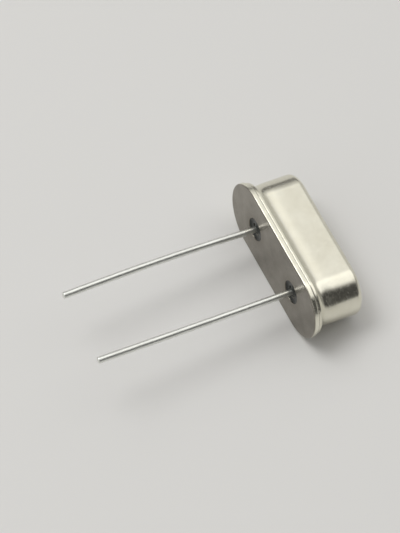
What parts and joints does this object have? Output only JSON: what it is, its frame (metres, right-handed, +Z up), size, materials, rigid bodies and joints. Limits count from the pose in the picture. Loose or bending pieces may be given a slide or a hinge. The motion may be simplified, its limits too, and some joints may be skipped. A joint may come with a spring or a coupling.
{
  "type": "crystal oscillator",
  "caption": "Quartz crystal for a clock oscillator in a low oblong welded metal can, with a flanged base plate, glass-sealed wire leads and the mounted blank inside.",
  "frame": {"origin": "on the surface that the part lies on, under the middle of its box", "axes": "+X along the part, from the lead tips towards the top of the can; +Y along the long side of the can; +Z up from the surface. The leads rise by the resting tilt of 8.07 degrees towards -X."},
  "size_m": [0.0166, 0.011, 0.0046],
  "materials": {
    "cover_metal": "satin nickel, faintly drawn along the can",
    "base_metal": "bright nickel plate, slightly darker than the cover",
    "lead_tin": "dipped tin, bright with soft ripples",
    "seal_glass": "dark fused glass, glossy",
    "clip_metal": "rolled strip, satin",
    "quartz": "lapped and polished plate",
    "electrode_silver": "evaporated silver film",
    "adhesive": "silver-filled epoxy, cured matte"
  },
  "bodies": {
    "root": {"base_plate": "base_metal", "cover": "cover_metal", "glass_seal_left": "seal_glass", "glass_seal_right": "seal_glass", "lead_left": "lead_tin", "lead_right": "lead_tin", "clip_left": "clip_metal", "clip_right": "clip_metal", "quartz_blank": "quartz", "electrode_base_side": "electrode_silver", "electrode_cover_side": "electrode_silver", "adhesive_left": "adhesive", "adhesive_right": "adhesive"}
  },
  "joints": []
}
